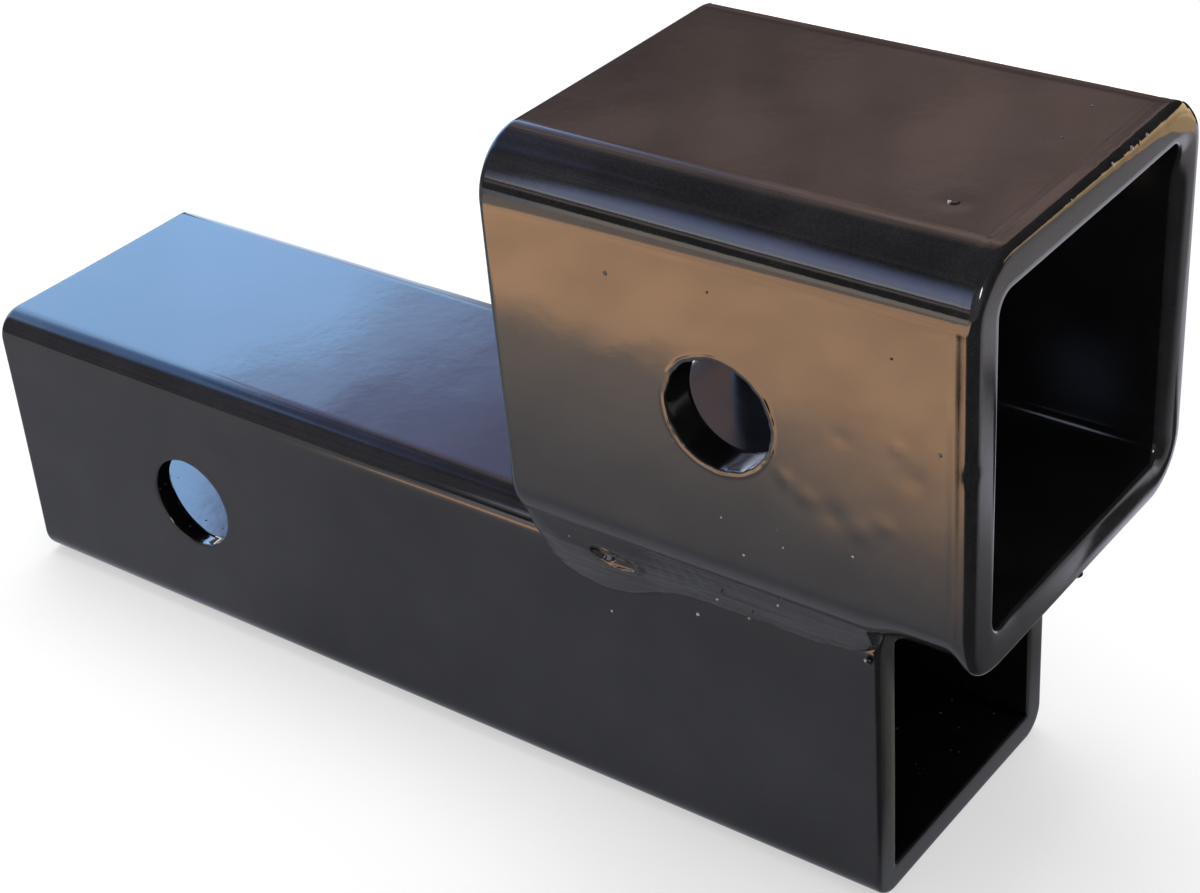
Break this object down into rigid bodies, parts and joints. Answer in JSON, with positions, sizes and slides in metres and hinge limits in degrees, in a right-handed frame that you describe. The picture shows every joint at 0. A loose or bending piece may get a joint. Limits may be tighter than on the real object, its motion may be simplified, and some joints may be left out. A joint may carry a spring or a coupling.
{
  "type": "hitch receiver extender",
  "caption": "Welded square-tube hitch receiver extender: a pinned shank carries a larger open receiver tube raised on its top and overhanging its end, painted gloss black.",
  "frame": {"origin": "centre of the shank's pin hole, on the shank's axis", "axes": "+X along the shank towards the receiver's mouth, +Z from the shank up to the receiver tube, -Y out of the right side, which the picture shows"},
  "size_m": [0.1988, 0.0636, 0.1143],
  "materials": {
    "painted_tube": "gloss black paint on steel tube",
    "painted_weld": "gloss black paint on weld metal"
  },
  "bodies": {
    "root": {"shank_tube": "painted_tube", "receiver_tube": "painted_tube", "right_weld_bead": "painted_weld", "left_weld_bead": "painted_weld"}
  },
  "joints": []
}
